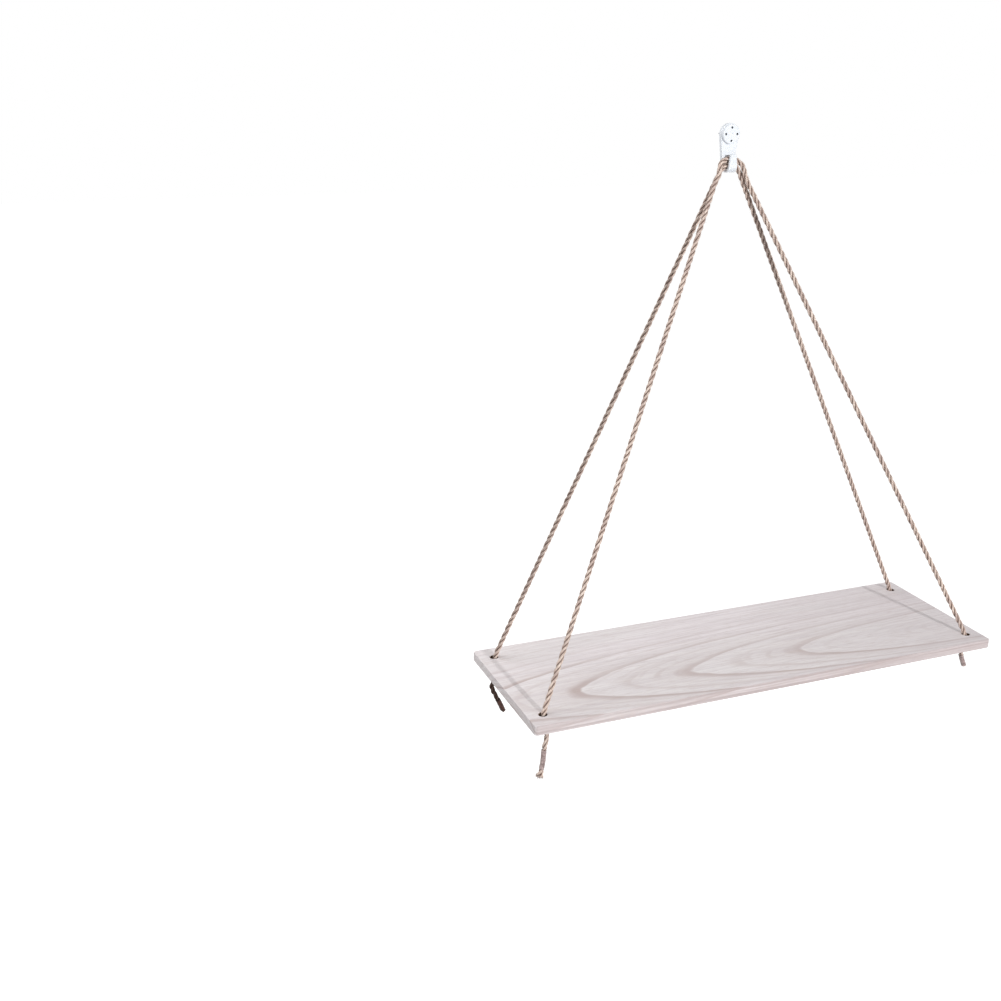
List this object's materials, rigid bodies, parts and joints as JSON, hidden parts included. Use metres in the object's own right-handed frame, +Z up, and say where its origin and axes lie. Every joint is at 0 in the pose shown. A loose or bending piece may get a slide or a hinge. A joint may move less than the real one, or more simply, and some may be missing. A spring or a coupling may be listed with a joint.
{
  "type": "hanging rope shelf",
  "caption": "Hanging shelf: a thin wooden board slung from a small wall hook by twisted ropes that pass through its corner holes and end in knots and taped loose ends below.",
  "frame": {"origin": "middle of the hook's back face, on the wall plane", "axes": "+Z up, +X along the wall to the viewer's right, +Y into the wall, so that the shelf faces -Y"},
  "size_m": [0.43, 0.142, 0.4797],
  "materials": {
    "wood": "whitewashed, matte",
    "plastic": "smooth white",
    "steel": "dark nail steel",
    "rope": "three-strand twisted fibre",
    "tape": "thin greyish tape"
  },
  "bodies": {
    "hook": {"hook_body": "plastic", "nail_disc": "plastic", "nail_top": "steel", "nail_right": "steel", "nail_bottom": "steel", "nail_left": "steel"},
    "bights": {"bight_back": "rope", "bight_front": "rope"},
    "hanging_shelf": {"board": "wood", "leg_back_left": "rope", "leg_back_right": "rope", "leg_front_left": "rope", "leg_front_right": "rope", "knot_back_left": "rope", "knot_back_right": "rope", "knot_front_left": "rope", "knot_front_right": "rope", "tail_back_left": "rope", "tail_back_right": "rope", "tail_front_left": "rope", "tail_front_right": "rope", "tape_back_left": "tape", "tape_back_right": "tape", "tape_front_left": "tape", "tape_front_right": "tape"}
  },
  "joints": [
    {"name": "side_swing", "type": "hinge", "parent": "hook", "child": "bights", "pos_m": [0, -0.0062, -0.03301], "axis": [0, 1, 0], "range_deg": [-20, 20]},
    {"name": "forward_swing", "type": "hinge", "parent": "bights", "child": "hanging_shelf", "pos_m": [0, -0.01027, -0.03765], "axis": [-1, 0, 0], "range_deg": [0, 35]}
  ]
}
